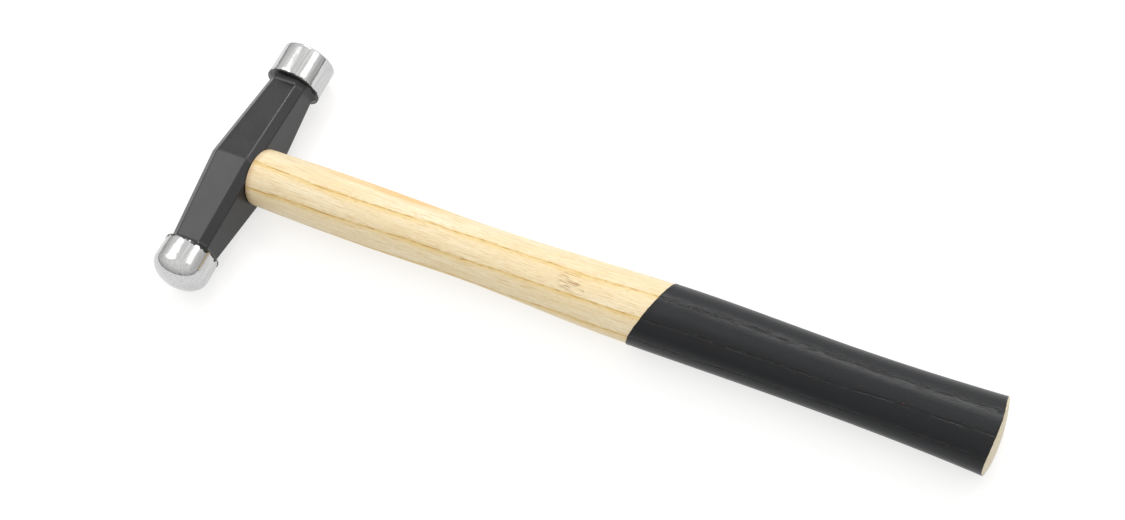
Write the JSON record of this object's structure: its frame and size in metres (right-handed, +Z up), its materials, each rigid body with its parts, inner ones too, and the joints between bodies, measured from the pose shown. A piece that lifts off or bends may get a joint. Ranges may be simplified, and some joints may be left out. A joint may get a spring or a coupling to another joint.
{
  "type": "ball peen hammer",
  "caption": "Ball peen hammer with a faceted black-enamelled head, polished flat face and dome, and an oval ash handle with a black lacquered grip.",
  "frame": {"origin": "centre of the underside of the bounding box, with the hammer lying on its cheek", "axes": "+X along the handle from head to butt, +Y along the head from dome to flat face, +Z up, square to the cheeks"},
  "size_m": [0.3084, 0.1072, 0.0241],
  "materials": {
    "polished_steel": "mirror polished at both round ends",
    "black_enamel": "satin black enamel with crisp ground edges",
    "ash": "sanded pale ash with a thin clear oil",
    "black_lacquer": "dipped satin black lacquer, grain showing through",
    "wedge_wood": "sawn hardwood",
    "wedge_steel": "rolled mild steel, sheared edges"
  },
  "bodies": {
    "root": {"hammer_head": "polished_steel", "head_enamel": "black_enamel", "ash_handle": "ash", "grip_lacquer": "black_lacquer", "wooden_wedge": "wedge_wood", "steel_wedge_dome_side": "wedge_steel", "steel_wedge_face_side": "wedge_steel"}
  },
  "joints": []
}
